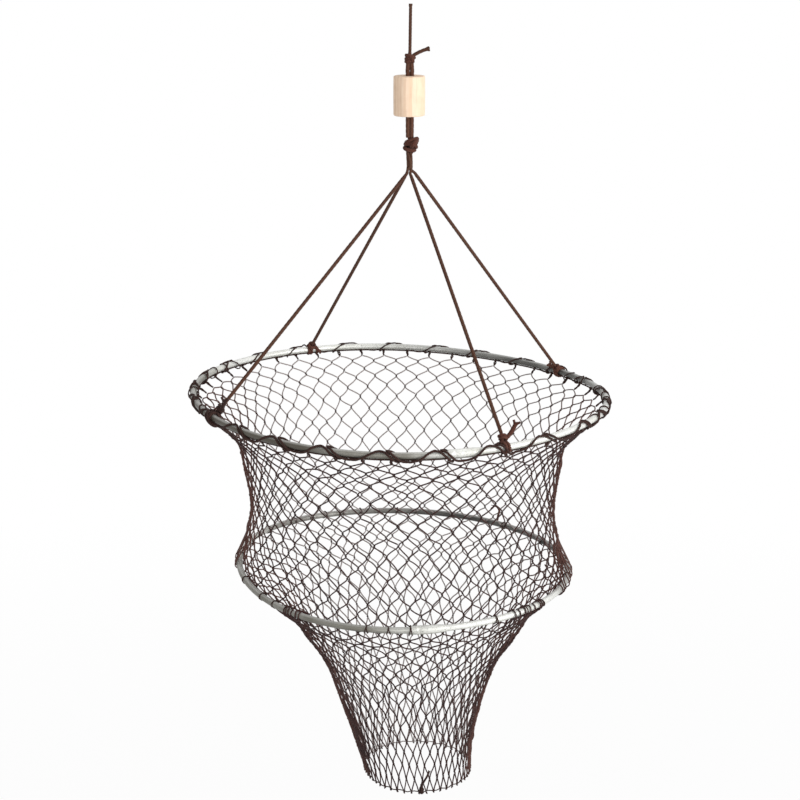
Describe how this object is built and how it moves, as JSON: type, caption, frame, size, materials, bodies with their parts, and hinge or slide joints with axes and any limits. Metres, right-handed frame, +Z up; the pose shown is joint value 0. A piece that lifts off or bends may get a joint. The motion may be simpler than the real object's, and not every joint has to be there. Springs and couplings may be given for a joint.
{
  "type": "crayfish drop net",
  "caption": "Hanging drop net for crayfish: haul line, wooden float, cord bridle, wide upper hoop, smaller lower hoop and a knotted mesh wall that narrows into an open-ended bag.",
  "frame": {"origin": "cut end of the haul line, which holds the hanging net up", "axes": "+Z up along the haul line, -Y towards the front, +X to the right seen from the front"},
  "size_m": [0.4057, 0.4056, 0.7635],
  "materials": {
    "cord": "matt twisted cord",
    "knot": "matt twisted cord",
    "twine": "matt twisted twine",
    "steel": "galvanised, satin",
    "wood": "bare turned wood"
  },
  "bodies": {
    "haul": {"haul_line": "cord", "line_tail": "cord", "line_knot": "knot", "strop_left": "cord", "strop_right": "cord", "bridle_knot": "knot", "bridle_leg_front_left": "cord", "bridle_leg_front_right": "cord", "bridle_leg_back_right": "cord", "bridle_leg_back_left": "cord"},
    "float": {"wooden_float": "wood"},
    "upper_ring": {"upper_hoop": "steel", "upper_hoop_sleeve": "steel", "rim_lacing": "twine", "net_wall": "twine", "hitch_knot_front_left": "knot", "hitch_knot_front_right": "knot", "hitch_knot_back_right": "knot", "hitch_knot_back_left": "knot", "hitch_turns_front_left": "cord", "hitch_turns_front_right": "cord", "hitch_turns_back_right": "cord", "hitch_turns_back_left": "cord", "hitch_tail_front_left": "knot", "hitch_tail_front_right": "knot", "hitch_tail_back_right": "knot", "hitch_tail_back_left": "knot"},
    "lower_ring": {"lower_hoop": "steel", "lower_hoop_sleeve": "steel", "lower_binding": "twine", "binding_tail": "twine", "net_bag": "twine"},
    "end_ring": {"draw_cord": "twine", "draw_knot": "knot", "draw_cord_tail": "twine"}
  },
  "joints": [
    {"name": "float_slide", "type": "slide", "parent": "haul", "child": "float", "axis": [0, 0, 1], "range_m": [-0.0177, 0.0112]},
    {"name": "bridle_fold", "type": "slide", "parent": "haul", "child": "upper_ring", "axis": [0, 0, 1], "range_m": [0, 0.19], "deforming": ["bridle_leg_front_left", "bridle_leg_front_right", "bridle_leg_back_right", "bridle_leg_back_left"]},
    {"name": "lower_ring_fold", "type": "slide", "parent": "upper_ring", "child": "lower_ring", "axis": [0, 0, 1], "range_m": [0, 0.17], "deforming": ["net_wall"]},
    {"name": "bag_fold", "type": "slide", "parent": "lower_ring", "child": "end_ring", "axis": [0, 0, 1], "range_m": [0, 0.2], "deforming": ["net_bag"]}
  ]
}
